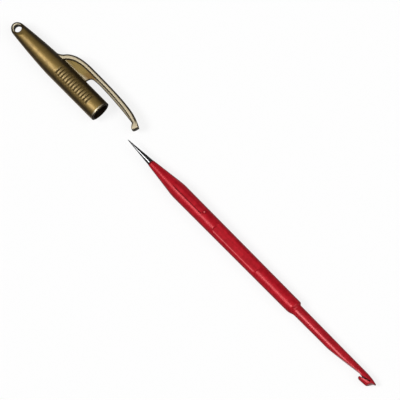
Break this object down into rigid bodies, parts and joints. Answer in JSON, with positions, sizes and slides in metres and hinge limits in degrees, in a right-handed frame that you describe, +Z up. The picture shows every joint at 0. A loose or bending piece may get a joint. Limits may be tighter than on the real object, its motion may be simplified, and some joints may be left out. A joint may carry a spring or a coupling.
{
  "type": "scratch awl",
  "caption": "Pen-style scratch awl: a steel needle in a red moulded handle that ends in a hook, with a push-on bronze cap that has a lanyard eye, grip grooves and a pocket clip.",
  "frame": {"origin": "middle of the bounding box, on the surface that the cap lies on", "axes": "+X along the tool from the hook to the needle and the cap, +Z up out of the face with the panel, clip on the -Y side"},
  "size_m": [0.221, 0.0151, 0.0094],
  "materials": {
    "needle_steel": "ground and polished to a point",
    "handle_red": "moulded plastic, semi-gloss",
    "cap_bronze": "metallised plastic, antique bronze",
    "clip_gold": "metallised plastic, pale gold"
  },
  "bodies": {
    "tool": {"handle": "handle_red", "awl_needle": "needle_steel"},
    "cap": {"cap_shell": "cap_bronze", "pocket_clip": "clip_gold"}
  },
  "joints": [
    {"name": "cap_pull", "type": "slide", "parent": "tool", "child": "cap", "axis": [1, 0, 0], "range_m": [-0.0626, 0]}
  ]
}
